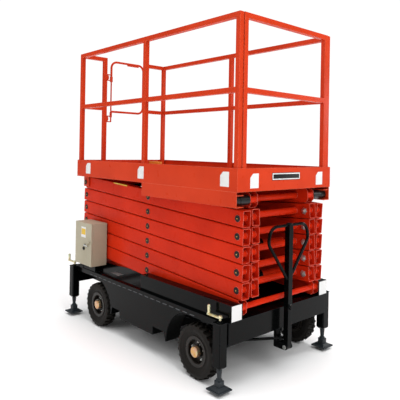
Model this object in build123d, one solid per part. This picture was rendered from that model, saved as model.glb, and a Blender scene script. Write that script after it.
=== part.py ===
from build123d import *
import math
import os

# Towable scissor lift, millimetres. +X is the drawbar end, +Z is up.
# The origin is on the ground under the middle of the work platform.
# The lift is folded, the jacks are just off the ground, the drawbar is upright.

# Work platform
platform_length = 2380.0
platform_width = 1154.0
platform_top = 1616.0
platform_side_depth = 172.0
platform_wall = 4.0
toe_depth = 56.0
deck_thickness = 4.0
tread_thickness = 3.0
tread_gap = 6.0
joist_depth = 50.0
joist_width = 60.0
joist_wall = 5.0
joist_count = 6
joist_after_pin = 130.0
joist_before_front = 198.0

# Guardrail
guard_height = 1131.0
mid_rail_height = 588.0
rail_tube = 40.0
rail_wall = 2.5
side_rail_inset = 14.0
front_rail_inset = 6.0
side_front_post_inset = 12.0
rear_opening = 510.0
front_panel_gap = 4.0
gate_tube = 24.0
gate_bottom = 540.0
gate_top = 1100.0
gate_corner = 70.0
gate_side_gap = 16.0
gate_lug_height = 36.0
gate_lug_half = 14.0
gate_pin = 8.0

# Scissor arms
stages = 6
arm_length = 2246.0
stage_pitch = 132.0
first_mid_pin_height = 651.0
arm_depth = 125.0
arm_width = 80.0
arm_wall = 4.0
arm_corner = 8.0
outer_arm_face = 493.0
arm_side_gap = 20.0
arm_end = 55.0
arm_short_end = 32.0
pin_radius = 20.0
pin_clearance = 0.05
boss_radius = 28.0
pin_head_radius = 27.0
pin_head_thickness = 4.0
pin_nut_radius = 17.0
pin_nut_thickness = 7.0
washer_thickness = 6.0
washer_clearance = 0.5
cross_tube_radius = 27.5
front_tube_offset = 100.0
rear_tube_offset = 200.0
foot_tube_offset = 246.0
toe_tube_radius = 21.5
bracket_gap = 4.0
bracket_plate = 12.0
bracket_rear = 42.0
bracket_front = 58.0
lug_tie_place = 40.0
lug_tie_wall = 6.0
lug_tie_drop = 52.0

# Rollers and their channels
roller_radius = 38.0
roller_length = 80.0
platform_roller_length = 67.0
roller_side_gap = 8.0
roller_clearance = 0.3
roller_top_gap = 3.0
channel_wall = 6.0
channel_face = 590.0
channel_start = 40.0
channel_end = 1166.0
end_plate = 4.0
platform_channel_start = 10.0
platform_channel_drop = 119.0

# Lift cylinders
barrel_radius = 47.5
barrel_wall = 9.0
rod_radius = 30.0
piston_length = 60.0
eye_radius = 44.0
eye_width = 72.0
gland_setback = 150.0
gland_length = 30.0
cylinder_eye_clearance = 0.3
cylinder_foot_stages = (1, 3)
head_pin_back = 60.0
head_pin_drop = 60.0
head_lug_width = 44.0
head_lug_thickness = 30.0
head_lug_eye = 26.0
head_pin_radius = 16.0
fork_gap = 35.0
fork_width = 72.0
fork_half = 30.0
fork_eye = 34.0
fork_depth = 100.0
fork_base = 16.0

# Chassis
frame_top = 505.0
frame_depth = 165.0
cross_member_face = 1149.0
cross_member_width = 80.0
cross_member_half = 595.0
rail_centre = 400.0
rail_width = 70.0
frame_wall = 6.0
tie_spacing = 560.0
tie_width = 70.0
tie_depth = 60.0
outrigger_spacing = 330.0
outrigger_width = 50.0
side_face = 620.0
side_beam_width = 50.0
side_beam_depth = 43.0
deck_drop = 41.0
deck_plate_thickness = 4.0
skirt_wall = 4.0
skirt_bottom = 245.0
skirt_tip = 172.0
arch_crown_half = 74.4
arch_centre_height = 190.0
front_arch_centre = 737.0
rear_arch_centre = -690.0
fender_width = 150.0
box_rear = -250.0
box_front = 268.0
box_bottom = 174.0
box_wall = 4.0
pack_half = 300.0
pack_height = 90.0

# Jacks
column_x = 1100.0
column_y = 635.0
column_size = 80.0
column_bottom = 180.0
column_top = 505.0
column_chamfer = 14.0
column_corner = 8.0
leg_radius = 25.0
leg_clearance = 0.4
leg_top = 415.0
leg_waist = 22.0
leg_tip = 15.0
foot_size = 134.0
foot_thickness = 10.0
foot_height = 25.0
foot_cone_low = 108.0
foot_cone_high = 64.0
foot_cone_height = 15.0
foot_block = 56.0
foot_block_height = 42.0
collar_radius = 22.0
collar_height = 12.0
crank_length = 120.0
crank_radius = 9.0
crank_grip = 62.0

# Wheels and axles
tyre_radius = 210.0
tyre_width = 110.0
wheel_face = 640.0
front_wheel_x = 828.0
rear_wheel_x = -627.0
rim_radius = 106.0
rim_flange = 116.0
rim_width = 84.0
rim_wall = 5.0
hub_radius = 46.0
hub_cap_radius = 34.0
hub_cap_length = 30.0
stub_radius = 17.5
stub_reach = 46.0
bearing_clearance = 0.05
axle_size = 70.0
tyre_sides = 52
tyre_body_radius = 194.0
tyre_shoulder_half = 50.0
tyre_wall_radius = 172.0
tyre_lug_radius = 209.7
tyre_lug_shoulder = 201.7
tyre_lug_width = 19.0
tyre_lug_inside = 6.0
tyre_bead_half = 33.5
axle_seat_half = 40.0

# Steering
kingpin_y = 460.0
kingpin_radius = 15.0
knuckle_radius = 27.0
knuckle_height = 66.0
knuckle_gap = 0.5
steer_arm_x = 50.0
steer_arm_y = 28.0
swivel_x = 1109.0
swivel_radius = 30.0
swivel_bottom = 186.0
bearing_height = 22.0
spindle_radius = 15.0
tie_rod_radius = 7.0
tie_rod_eye = 13.0
tie_rod_height = 268.0
tie_rod_thickness = 16.0
tie_pin_radius = 6.0

# Drawbar
drawbar_x = 1209.0
drawbar_pivot_height = 212.0
drawbar_top = 1181.0
drawbar_tube = 45.0
loop_tube_radius = 12.5
loop_half_width = 247.0
loop_joint_height = 745.0
loop_wide_height = 1040.0
drawbar_pin_radius = 10.0
ear_thickness = 10.0
ear_gap = 1.0
latch_low = 505.0
latch_high = 545.0

# Control cabinet
cabinet_rear = -1005.0
cabinet_front = -680.0
cabinet_face = 680.0
cabinet_back = 507.0
cabinet_bottom = 572.0
cabinet_top = 992.0
cabinet_wall = 2.5
door_thickness = 14.0
door_gap = 1.5
door_hinge_radius = 4.0

# Worked out from the sizes above
lean = math.degrees(math.asin(stage_pitch / arm_length))
half_span = arm_length / 2 * math.cos(math.radians(lean))
pin_places = (-arm_length / 2, 0.0, arm_length / 2)
bottom_pin_height = first_mid_pin_height - stage_pitch / 2
top_pin_height = bottom_pin_height + stages * stage_pitch
outer_arm_y = outer_arm_face - arm_width / 2
inner_arm_y = outer_arm_y - arm_width - arm_side_gap
inner_arm_inside = inner_arm_y - arm_width / 2
bracket_outside = outer_arm_face + bracket_gap + bracket_plate
bracket_inside = outer_arm_face - arm_width - bracket_gap - bracket_plate
platform_bottom = platform_top - platform_side_depth
deck_top = platform_top - toe_depth
guard_top = platform_top + guard_height
mid_rail_top = platform_top + mid_rail_height
frame_bottom = frame_top - frame_depth
deck_height = frame_top - deck_drop
skirt_top = frame_top - side_beam_depth
arch_radius = math.hypot(skirt_top - arch_centre_height, arch_crown_half)
roller_start = outer_arm_face + roller_side_gap
wheel_y = wheel_face - tyre_width / 2


def block(x, y, z):
    """A box from three pairs of limits."""
    size = [high - low for low, high in (x, y, z)]
    middle = [(low + high) / 2 for low, high in (x, y, z)]
    return Pos(*middle) * Box(*size)


def rod(start, end, radius):
    """A round bar from one point to another."""
    start, end = Vector(*start), Vector(*end)
    bar = Cylinder(radius, (end - start).length, align=(Align.CENTER, Align.CENTER, Align.MIN))
    return Plane(origin=start, z_dir=end - start) * bar


def across(x, z, near, far, radius):
    """A round bar that lies across the machine."""
    return rod((x, near, z), (x, far, z), radius)


def both_sides(shape):
    """The shape and its mirror image on the other side of the machine."""
    return [shape, mirror(shape, about=Plane.XZ)]


def fused(shapes):
    """One shape from several that touch or overlap."""
    first, *rest = shapes
    return first.fuse(*rest) if rest else first


def save(name, *shapes):
    """Write one named piece, made of one or more solids."""
    solids = [solid for shape in shapes for solid in shape.solids()]
    piece = solids[0] if len(solids) == 1 else Compound(children=solids)
    export_step(piece, f"parts/{name}.step")


def arm_frame(stage, rising):
    """The place of an arm's middle pin, turned so that local +X runs to its drawbar end."""
    height = first_mid_pin_height + (stage - 1) * stage_pitch
    return Pos(0, 0, height) * Rot(0, -lean if rising else lean, 0)


def rounded_bar(low, high, y, width, depth, corner):
    """A bar along X with rounded long edges."""
    end = Plane(origin=(low, y, 0), x_dir=(0, 1, 0), z_dir=(1, 0, 0))
    return extrude(end * RectangleRounded(width, depth, corner), high - low)


def arm_tube(rear_end, front_end, y):
    """A hollow rectangular arm with its pins' boss tubes, along local X."""
    low, high = -arm_length / 2 - rear_end, arm_length / 2 + front_end
    half = arm_width / 2
    outside = rounded_bar(low, high, y, arm_width, arm_depth, arm_corner)
    inside = rounded_bar(low - 1, high + 1, y, arm_width - 2 * arm_wall, arm_depth - 2 * arm_wall,
                         arm_corner - arm_wall)
    if arm_short_end in (rear_end, front_end):
        limits = block((low, high), (y - arm_width, y + arm_width), (-arm_depth / 2, arm_depth / 2))
        short_end = -1 if front_end == arm_short_end else 0
        corners = limits.edges().filter_by(Axis.Y).group_by(Axis.X)[short_end]
        outside &= chamfer(corners, arm_short_end * 0.8)
    bosses = [across(x, 0, y - half, y + half, boss_radius) for x in pin_places]
    return (outside - inside).fuse(*bosses)


def outer_arm(stage):
    """A near outer arm with its three pins, which reach in through the inner arms."""
    rear_end = arm_short_end if stage == stages else arm_end
    front_end = arm_short_end if stage == 1 else arm_end
    pieces = [arm_tube(rear_end, front_end, -outer_arm_y)]
    for x in pin_places:
        if stage == 1 and x > 0:
            pieces.append(across(x, 0, -roller_start - roller_length, -outer_arm_y, pin_radius))
        elif stage == stages and x < 0:
            start = -bracket_outside - washer_clearance
            pieces.append(across(x, 0, start, -bracket_inside, pin_radius))
            pieces.append(across(x, 0, start - pin_head_thickness, start, pin_head_radius))
        else:
            pieces += inner_pin(x)
    return fused(pieces)


def inner_pin(x):
    """A pin through an outer and an inner arm, with its head, spacer, washer and nut."""
    head = -outer_arm_face - pin_head_thickness
    spacer = -outer_arm_face + arm_width
    washer = -inner_arm_inside + washer_clearance
    nut = washer + washer_thickness
    return [
        across(x, 0, head, nut, pin_radius),
        across(x, 0, head, -outer_arm_face, pin_head_radius),
        across(x, 0, spacer, spacer + arm_side_gap - washer_clearance, boss_radius),
        across(x, 0, washer, nut, pin_head_radius),
        across(x, 0, nut, nut + pin_nut_thickness, pin_nut_radius),
    ]


def inner_arms(stage):
    """The near and far inner arms of one stage, joined by their cross tubes."""
    rear_end = arm_short_end if stage == 1 else arm_end
    front_end = arm_short_end if stage == stages else arm_end
    near = arm_tube(rear_end, front_end, -inner_arm_y)
    hole = pin_radius + pin_clearance
    for x in pin_places:
        is_roller_end = stage == stages and x > 0
        if not is_roller_end:
            near -= across(x, 0, -inner_arm_y - arm_width, -inner_arm_y + arm_width, hole)
    if stage == stages:
        x = pin_places[-1]
        near += across(x, 0, -roller_start - platform_roller_length, -inner_arm_inside, pin_radius)
        near += across(x, 0, -roller_start, -inner_arm_y - arm_width / 2, boss_radius)
    tubes = [-arm_length / 2 + rear_tube_offset, arm_length / 2 - front_tube_offset]
    if stage in cylinder_foot_stages:
        tubes.append(arm_length / 2 - foot_tube_offset)
    reach = inner_arm_inside + arm_wall / 2
    bars = [across(x, 0, -reach, reach, cross_tube_radius) for x in tubes]
    if stage - 2 in cylinder_foot_stages:
        bars += head_lug(tubes[0])
    frame = fused(both_sides(near) + bars)
    if stage - 2 in cylinder_foot_stages:
        frame -= across(tubes[0] - head_pin_back, -head_pin_drop, -eye_width, eye_width, head_pin_radius)
    return frame


def head_lug(tube_x):
    """The plate under a cross tube that a lift cylinder's fork holds, and its eye."""
    half = head_lug_thickness / 2
    slope = math.degrees(math.atan2(head_pin_drop, head_pin_back))
    plate = block(
        (-math.hypot(head_pin_back, head_pin_drop), 0), (-half, half),
        (-head_lug_width / 2, head_lug_width / 2),
    )
    eye = across(tube_x - head_pin_back, -head_pin_drop, -half, half, head_lug_eye)
    return [Pos(tube_x, 0, 0) * Rot(0, -slope, 0) * plate, eye]


def roller(x, z, length):
    """A steel roller on the near side, bored for its pin."""
    outside = -roller_start - length
    solid = across(x, z, outside, -roller_start - 0.5, roller_radius)
    bore = across(x, z, outside - 1, -roller_start + 1, pin_radius + pin_clearance)
    rims = solid.edges().filter_by(GeomType.CIRCLE)
    return chamfer(rims, 4) - bore


def roller_channel(ends, face, bearing_low, web):
    """A channel on the near side, open to the arms, that a roller runs in."""
    inside = -roller_start + 1.0
    bearing_high = bearing_low + 2 * roller_radius + roller_top_gap
    return fused([
        block(ends, (-face, -face + channel_wall), web),
        block(ends, (-face, inside), (bearing_low - channel_wall, bearing_low)),
        block(ends, (-face, inside), (bearing_high, bearing_high + channel_wall)),
    ])


def make_scissor():
    for stage in range(1, stages + 1):
        near = outer_arm(stage)
        place = arm_frame(stage, rising=False)
        if stage == 1:
            x = pin_places[-1]
            toe = across(x, 0, -outer_arm_y, outer_arm_y, toe_tube_radius)
            save(f"outer_arms_{stage}", place * fused(both_sides(near) + [toe]))
        else:
            save(f"outer_arms_{stage}", *[place * arm for arm in both_sides(near)])
        save(f"inner_arms_{stage}", arm_frame(stage, rising=True) * inner_arms(stage))
    save("bottom_rollers", *both_sides(roller(half_span, bottom_pin_height, roller_length)))
    save("top_rollers", *both_sides(roller(half_span, top_pin_height, platform_roller_length)))


def upright(radius, low, high):
    """A round bar along local Z."""
    return Pos(0, 0, low) * Cylinder(radius, high - low, align=(Align.CENTER, Align.CENTER, Align.MIN))


def cylinder_fork(length):
    """The fork at a rod's end, along local Z, with the heads of its pin."""
    floor = length - fork_depth
    plates = [
        block(
            (-fork_width / 2, fork_width / 2), (-fork_half, fork_half), (floor - fork_base, floor)
        )
    ]
    for sign in (-1, 1):
        face = sign * fork_width / 2
        x = sorted((sign * fork_gap / 2, face))
        plates.append(block(x, (-fork_half, fork_half), (floor - 1, length)))
        plates.append(rod((x[0], 0, length), (x[1], 0, length), fork_eye))
        head = face + sign * pin_head_thickness
        plates.append(rod((face, 0, length), (head, 0, length), pin_head_radius))
    return plates


def make_cylinders():
    """Two lift cylinders: each stands on one inner frame and lifts a lug on the frame two stages up."""
    cosine, sine = math.cos(math.radians(lean)), math.sin(math.radians(lean))
    reach = arm_length - foot_tube_offset
    head_reach = rear_tube_offset - head_pin_back
    for name, stage in zip(("lower", "upper"), cylinder_foot_stages):
        base = bottom_pin_height + (stage - 1) * stage_pitch
        foot = Vector(-half_span + reach * cosine, 0, base + reach * sine)
        head_x = -half_span + head_reach * cosine + head_pin_drop * sine
        head_rise = head_reach * sine - head_pin_drop * cosine
        head = Vector(head_x, 0, base + 2 * stage_pitch + head_rise)
        length = (head - foot).length
        aim = Plane(origin=foot, z_dir=head - foot, x_dir=(0, 1, 0))
        gland = length - gland_setback
        bottom = eye_radius - 6
        floor = bottom + 40
        barrel = upright(barrel_radius, bottom, gland)
        cavity = upright(barrel_radius - barrel_wall, floor, gland - gland_length)
        gland_hole = upright(rod_radius + cylinder_eye_clearance, floor + 1, gland + 1)
        eye = Rot(0, 90, 0) * Cylinder(eye_radius, eye_width)
        eye_hole = Rot(0, 90, 0) * Cylinder(cross_tube_radius + cylinder_eye_clearance, 2 * eye_width)
        save(f"{name}_cylinder_barrel", aim * ((barrel - cavity - gland_hole) + eye - eye_hole))
        start = floor + 12
        piston = upright(barrel_radius - barrel_wall - cylinder_eye_clearance, start, start + piston_length)
        bar = upright(rod_radius, start, length - fork_depth - fork_base / 2)
        save(f"{name}_cylinder_rod", aim * fused([piston, bar] + cylinder_fork(length)))


def make_platform():
    half_x, half_y = platform_length / 2, platform_width / 2
    wall = platform_wall
    outline = block((-half_x, half_x), (-half_y, half_y), (platform_bottom, platform_top))
    hollow = block(
        (-half_x + wall, half_x - wall),
        (-half_y + wall, half_y - wall),
        (platform_bottom - 1, platform_top + 1),
    )
    rim = block(
        (-half_x, half_x), (-half_y, half_y), (platform_top - wall, platform_top)
    ) - block(
        (-half_x + front_rail_inset, half_x - front_rail_inset),
        (-half_y + side_rail_inset, half_y - side_rail_inset),
        (platform_bottom, platform_top + 1),
    )
    deck = block(
        (-half_x + wall / 2, half_x - wall / 2),
        (-half_y + wall / 2, half_y - wall / 2),
        (deck_top - deck_thickness, deck_top),
    )
    tread_x = half_x - front_rail_inset - rail_tube - tread_gap
    tread_y = half_y - side_rail_inset - rail_tube - tread_gap
    tread = block((-tread_x, tread_x), (-tread_y, tread_y), (deck_top - 1, deck_top + tread_thickness))
    first_joist, last_joist = joist_after_pin - half_span, half_x - joist_before_front
    joist_step = (last_joist - first_joist) / (joist_count - 1)
    joist_places = [first_joist + index * joist_step for index in range(joist_count)]
    joist_bottom = deck_top - joist_depth
    joists = []
    for x in joist_places:
        span = (x - joist_width / 2, x + joist_width / 2)
        reach = (-half_y + wall / 2, half_y - wall / 2)
        inside = (span[0] + joist_wall, span[1] - joist_wall)
        joist = block(span, reach, (joist_bottom, deck_top - deck_thickness / 2))
        joists.append(joist - block(inside, reach, (joist_bottom - 1, deck_top - deck_thickness)))
    tray = (outline - hollow).fuse(rim, deck, tread, *joists)
    save("platform_tray", tray)

    bearing = top_pin_height + roller_radius + roller_clearance
    bearing_low = bearing - 2 * roller_radius - roller_top_gap
    ends = (platform_channel_start, half_x - 2 * wall)
    web = (bearing_low - channel_wall, platform_bottom)
    channel = roller_channel(ends, half_y, bearing_low, web)
    pads = [
        block(
            (x - joist_width / 2, x + joist_width / 2),
            (-half_y + 20, -roller_start - 10),
            (bearing + channel_wall, joist_bottom),
        )
        for x in joist_places
        if x > 0
    ]
    save("platform_channels", *both_sides(fused([channel] + pads)))

    lug_x = (-half_span - bracket_rear, -half_span + bracket_front)
    lug_z = (top_pin_height - bracket_rear, deck_top - deck_thickness)
    hole = across(-half_span, top_pin_height, -half_y, half_y, pin_radius + pin_clearance)
    outside, inside = [
        block(lug_x, (-y, -y + bracket_plate), lug_z) - hole
        for y in (bracket_outside, bracket_inside + bracket_plate)
    ]
    tie_x = -half_span + lug_tie_place
    tie = block(
        (tie_x, tie_x + lug_tie_wall), (-bracket_inside - 1, bracket_inside + 1),
        (top_pin_height - lug_tie_drop + bracket_rear / 2, joist_bottom),
    )
    save("platform_lugs", *both_sides(outside), fused(both_sides(inside) + [tie]))


def square_tubes(members):
    """Welded square tube: each member is three pairs of limits, and posts are open below."""
    outside = fused([block(*member) for member in members])
    inside = []
    for member in members:
        limits = [(low + rail_wall, high - rail_wall) for low, high in member]
        if member[2][0] == deck_top:
            limits[2] = (deck_top - 1, member[2][1] - rail_wall)
        inside.append(block(*limits))
    return outside - fused(inside)


def make_guardrail():
    half_x, half_y = platform_length / 2, platform_width / 2
    tube = rail_tube
    y = (-half_y + side_rail_inset, -half_y + side_rail_inset + tube)
    x_rear = -half_x + front_rail_inset
    x_front = half_x - side_front_post_inset
    upper = (guard_top - tube, guard_top)
    middle = (mid_rail_top - tube, mid_rail_top)
    post_z = (deck_top, guard_top)
    posts = [
        (x, y, post_z)
        for x in (
            (x_rear, x_rear + tube),
            (-tube / 2, tube / 2),
            (x_front - tube, x_front),
        )
    ]
    rails = [((x_rear, x_front), y, level) for level in (upper, middle)]
    save("guardrail_sides", *both_sides(square_tubes(posts + rails)))

    front_x = (half_x - front_rail_inset - tube, half_x - front_rail_inset)
    end = half_y - side_rail_inset - tube - front_panel_gap
    posts = [(front_x, (low, low + tube), post_z) for low in (-end, end - tube)]
    rails = [(front_x, (-end, end), level) for level in (upper, middle)]
    save("guardrail_front", square_tubes(posts + rails))

    rear_x = (x_rear, x_rear + tube)
    inner = rear_opening / 2
    post = (rear_x, (-inner - tube, -inner), post_z)
    rails = [(rear_x, (y[1], -inner), level) for level in (upper, middle)]
    near = square_tubes([post] + rails)
    hinge_y = -inner + gate_side_gap
    pin_x = x_rear + tube / 2
    lugs = []
    for z in gate_lug_heights():
        lug = block(
            (pin_x - gate_lug_half, pin_x + gate_lug_half), (-inner, hinge_y), (z, z + gate_lug_height)
        ) + rod((pin_x, hinge_y, z), (pin_x, hinge_y, z + gate_lug_height), gate_lug_half)
        top = z + gate_lug_height + 1
        lugs.append(lug - rod((pin_x, hinge_y, z - 1), (pin_x, hinge_y, top), gate_pin + pin_clearance))
    far = mirror(near, about=Plane.XZ)
    save("guardrail_rear", fused([near] + lugs), far)


def gate_lug_heights():
    """The undersides of the gate's two hinge lugs."""
    return platform_top + gate_top - 200, platform_top + gate_bottom - 100


def make_gate():
    """A round tube loop that hangs on two lugs and swings into the cage."""
    half_x = platform_length / 2
    x = -half_x + front_rail_inset + rail_tube / 2
    hinge = -rear_opening / 2 + gate_side_gap
    free = rear_opening / 2 - gate_side_gap
    low, high = platform_top + gate_bottom, platform_top + gate_top
    loop = Plane(origin=(x, 0, 0), x_dir=(0, 1, 0), z_dir=(1, 0, 0)) * FilletPolyline(
        (hinge, low), (free, low), (free, high), (hinge, high), radius=gate_corner, close=False
    )
    upper_lug, lower_lug = gate_lug_heights()
    side = [
        rod((x, hinge, low - gate_tube / 2), (x, hinge, upper_lug - 2), gate_tube / 2),
        rod((x, hinge, upper_lug + gate_lug_height + 2), (x, hinge, high + gate_tube / 2), gate_tube / 2),
        rod((x, hinge, lower_lug), (x, hinge, high), gate_pin),
    ]
    profile = Plane(origin=loop @ 0, z_dir=loop % 0) * Circle(gate_tube / 2)
    bent = sweep(profile, path=loop)
    save("gate", fused([bent] + side))


def make_chassis():
    rear, front = -cross_member_face, cross_member_face
    depth = (frame_bottom, frame_top)
    members = []
    for x in ((rear, rear + cross_member_width), (front - cross_member_width, front)):
        tube = block(x, (-cross_member_half, cross_member_half), depth)
        inside = block(
            (x[0] + frame_wall, x[1] - frame_wall),
            (-cross_member_half - 1, cross_member_half + 1),
            (frame_bottom + frame_wall, frame_top - frame_wall),
        )
        members.append(tube - inside)
    inner_rear, inner_front = rear + cross_member_width, front - cross_member_width
    rail_top = deck_height - deck_plate_thickness
    rail_half = rail_width / 2
    rail = block(
        (inner_rear - 1, inner_front + 1),
        (-rail_centre - rail_half, -rail_centre + rail_half),
        (frame_bottom, rail_top),
    )
    rail -= block(
        (inner_rear - 2, inner_front + 2),
        (-rail_centre - rail_half + frame_wall, -rail_centre + rail_half - frame_wall),
        (frame_bottom + frame_wall, rail_top - frame_wall),
    )
    tie_half = rail_centre - rail_half + frame_wall / 2
    ties = [
        block((x - tie_width / 2, x + tie_width / 2), (-tie_half, tie_half), (rail_top - tie_depth, rail_top))
        for x in (-tie_spacing, 0, tie_spacing)
    ]
    reach = rail_centre + rail_half - frame_wall / 2
    half = outrigger_width / 2
    outriggers = [
        block((x - half, x + half), (-side_face + skirt_wall, -reach), (rail_top - outrigger_width, rail_top))
        for x in (-outrigger_spacing, 0, outrigger_spacing)
    ]
    bearing = rod((swivel_x, 0, frame_bottom - bearing_height), (swivel_x, 0, frame_bottom), 45)
    hole = rod(
        (swivel_x, 0, frame_bottom - bearing_height - 1),
        (swivel_x, 0, frame_bottom + frame_wall + 1),
        spindle_radius + pin_clearance,
    )
    sides = both_sides(fused([rail] + outriggers[:1]))
    for outrigger in outriggers[1:]:
        sides += both_sides(outrigger)
    save("chassis_frame", fused(members + sides + ties + [bearing]) - hole)

    beam_y = (-side_face, -side_face + side_beam_width)
    beam_z = (frame_top - side_beam_depth, frame_top)
    beam_end = column_x - column_size / 2
    beam = block((-beam_end, beam_end), beam_y, beam_z)
    hollow = block(
        (-beam_end - 1, beam_end + 1),
        (beam_y[0] + frame_wall / 2, beam_y[1] - frame_wall / 2),
        (beam_z[0] + frame_wall / 2, beam_z[1] - frame_wall / 2),
    )
    save("side_beams", *both_sides(beam - hollow))

    deck_half = side_face - side_beam_width
    deck = block((inner_rear, inner_front), (-deck_half, deck_half), (rail_top, deck_height))
    save("deck_plate", deck)

    make_skirts()

    box_half = side_face - skirt_wall
    box = block((box_rear, box_front), (-box_half, box_half), (box_bottom, frame_bottom))
    space = block(
        (box_rear + box_wall, box_front - box_wall),
        (-box_half - 1, box_half + 1),
        (box_bottom + box_wall, frame_bottom + 1),
    )
    save("power_unit_box", box - space)
    pack = block(
        (box_rear + 60, box_front - 60), (-pack_half, pack_half),
        (box_bottom + box_wall, box_bottom + box_wall + pack_height),
    )
    save("power_unit", pack)

    bearing = bottom_pin_height - roller_radius - roller_clearance
    top = bearing + 2 * roller_radius + roller_top_gap + channel_wall
    channel = roller_channel(
        (channel_start, channel_end - end_plate), channel_face, bearing, (frame_top, top)
    )
    cap = block(
        (channel_end - end_plate, channel_end), (-channel_face, -outer_arm_y - 20), (frame_top, top)
    )
    save("roller_channels", *both_sides(fused([channel, cap])))

    lug_x = (-half_span - 26, -half_span + 34)
    lug_z = (frame_top, bottom_pin_height + 32)
    outer_y = -inner_arm_y - arm_width / 2 - bracket_gap - bracket_plate
    inner_y = -inner_arm_inside + bracket_gap
    lugs = [
        block(lug_x, (outer_y, outer_y + bracket_plate), lug_z),
        block(lug_x, (inner_y, inner_y + bracket_plate), lug_z),
        across(-half_span, bottom_pin_height, outer_y, inner_y + bracket_plate, pin_radius),
    ]
    save("pivot_brackets", *both_sides(fused(lugs)))

    make_columns()
    make_axles()


def skirt_outline():
    """The side skirt's face: arches at both ends and the deeper box side between them."""
    high, drop, rise = skirt_top, arch_centre_height, arch_crown_half
    with BuildSketch(Plane.XZ) as face:
        with BuildLine():
            front_tip = (front_arch_centre - arch_radius, skirt_tip)
            front_low = (front_arch_centre - arch_radius, drop)
            front_high = (front_arch_centre - rise, high)
            rear_tip = (rear_arch_centre + arch_radius, skirt_tip)
            rear_low = (rear_arch_centre + arch_radius, drop)
            rear_high = (rear_arch_centre + rise, high)
            RadiusArc(front_low, front_high, arch_radius)
            RadiusArc(rear_high, rear_low, arch_radius)
            Polyline(
                front_low, front_tip, (front_tip[0] - 12, skirt_tip), (front_tip[0] - 30, skirt_bottom),
                (box_front, skirt_bottom), (box_front, box_bottom), (box_rear, box_bottom),
                (box_rear, skirt_bottom), (rear_tip[0] + 30, skirt_bottom),
                (rear_tip[0] + 12, skirt_tip), rear_tip, rear_low,
            )
            Line(rear_high, front_high)
        make_face()
    return face.sketch


def make_skirts():
    face = skirt_outline()
    plate = Pos(0, -side_face + skirt_wall, 0) * extrude(face, skirt_wall)
    high = deck_height - deck_plate_thickness
    fenders = []
    for centre, sign in ((front_arch_centre, -1), (rear_arch_centre, 1)):
        outer = rod((centre, -side_face + 1, arch_centre_height),
                    (centre, -side_face + 1 + fender_width, arch_centre_height), arch_radius + skirt_wall)
        inner = rod((centre, -side_face, arch_centre_height),
                    (centre, -side_face + 2 + fender_width, arch_centre_height), arch_radius)
        rise = math.sqrt(arch_radius ** 2 - (high - arch_centre_height) ** 2)
        far = centre + sign * (arch_radius + 50)
        near = centre + sign * rise
        window = block(
            (min(far, near), max(far, near)), (-side_face, -side_face + 2 + fender_width),
            (arch_centre_height, high),
        )
        x_low, x_high = sorted((centre + sign * arch_radius, centre + sign * (arch_radius + skirt_wall)))
        tip = block((x_low, x_high), (-side_face + 1, -side_face + 1 + fender_width),
                    (skirt_tip, arch_centre_height))
        fenders += [(outer - inner) & window, tip]
    save("side_skirts", *both_sides(fused([plate] + fenders)))


def make_columns():
    """Four square jack columns on the corners, each with a boss and a crank."""
    half = column_size / 2
    columns, cranks = [], []
    for end, x in (("rear", -column_x), ("front", column_x)):
        for side, y in (("near", -column_y), ("far", column_y)):
            body = Pos(x, y, 0) * column_shape()
            bore_top = column_top - 30
            bore = rod((x, y, column_bottom - 1), (x, y, bore_top), leg_radius + leg_clearance)
            cap = block((x - half - 2, x + half + 2), (y - half - 2, y + half + 2),
                        (column_top, column_top + 4))
            boss = rod((x, y, column_top + 4), (x, y, column_top + 16), 16)
            columns.append(fused([body - bore, cap, boss]))
            save(f"jack_leg_{end}_{side}", Pos(x, y, 0) * jack_leg())
            base = (x, y, column_top + 16)
            shaft = rod(base, (x, y, column_top + 38), crank_radius)
            bar_z = column_top + 38
            tip_x = x - crank_length
            bar = block((tip_x - 9, x + 14), (y - 9, y + 9), (bar_z - 4, bar_z + 5))
            grip = rod((tip_x, y, bar_z), (tip_x, y, bar_z + crank_grip), crank_radius)
            cranks.append(fused([shaft, bar, grip]))
    save("jack_columns", *columns)
    save("jack_cranks", *cranks)


def column_shape():
    """A square column about local Z, with cut corners and a narrower foot."""
    section = chamfer(Rectangle(column_size, column_size).vertices(), column_corner)
    tip_size = column_size - 2 * column_chamfer
    tip = chamfer(Rectangle(tip_size, tip_size).vertices(), column_corner / 2)
    wide = column_bottom + column_chamfer
    upper = Pos(0, 0, wide) * extrude(section, column_top - wide)
    return upper + loft([Pos(0, 0, column_bottom) * tip, Pos(0, 0, wide) * section])


def jack_leg():
    """A jack's screw that narrows down to a square block on a square foot, about local Z."""
    half = foot_size / 2
    plate_top = foot_height + foot_thickness
    cone_top = plate_top + foot_cone_height
    block_top = cone_top + foot_block_height
    collar_top = block_top + collar_height
    foot = block((-half, half), (-half, half), (foot_height, plate_top))
    cone = loft([
        Pos(0, 0, plate_top - 1) * Rectangle(foot_cone_low, foot_cone_low),
        Pos(0, 0, cone_top) * Rectangle(foot_cone_high, foot_cone_high),
    ])
    half = foot_block / 2
    square = block((-half, half), (-half, half), (cone_top - 1, block_top))
    square = chamfer(square.edges().filter_by(Axis.Z), 6)
    collar = upright(collar_radius, block_top - 1, collar_top)
    waist = Pos(0, 0, (collar_top + column_bottom) / 2) * Cone(
        leg_tip, leg_waist, column_bottom - collar_top + 2
    )
    screw = upright(leg_radius, column_bottom, leg_top)
    return fused([foot, cone, square, collar, waist, screw])


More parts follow.
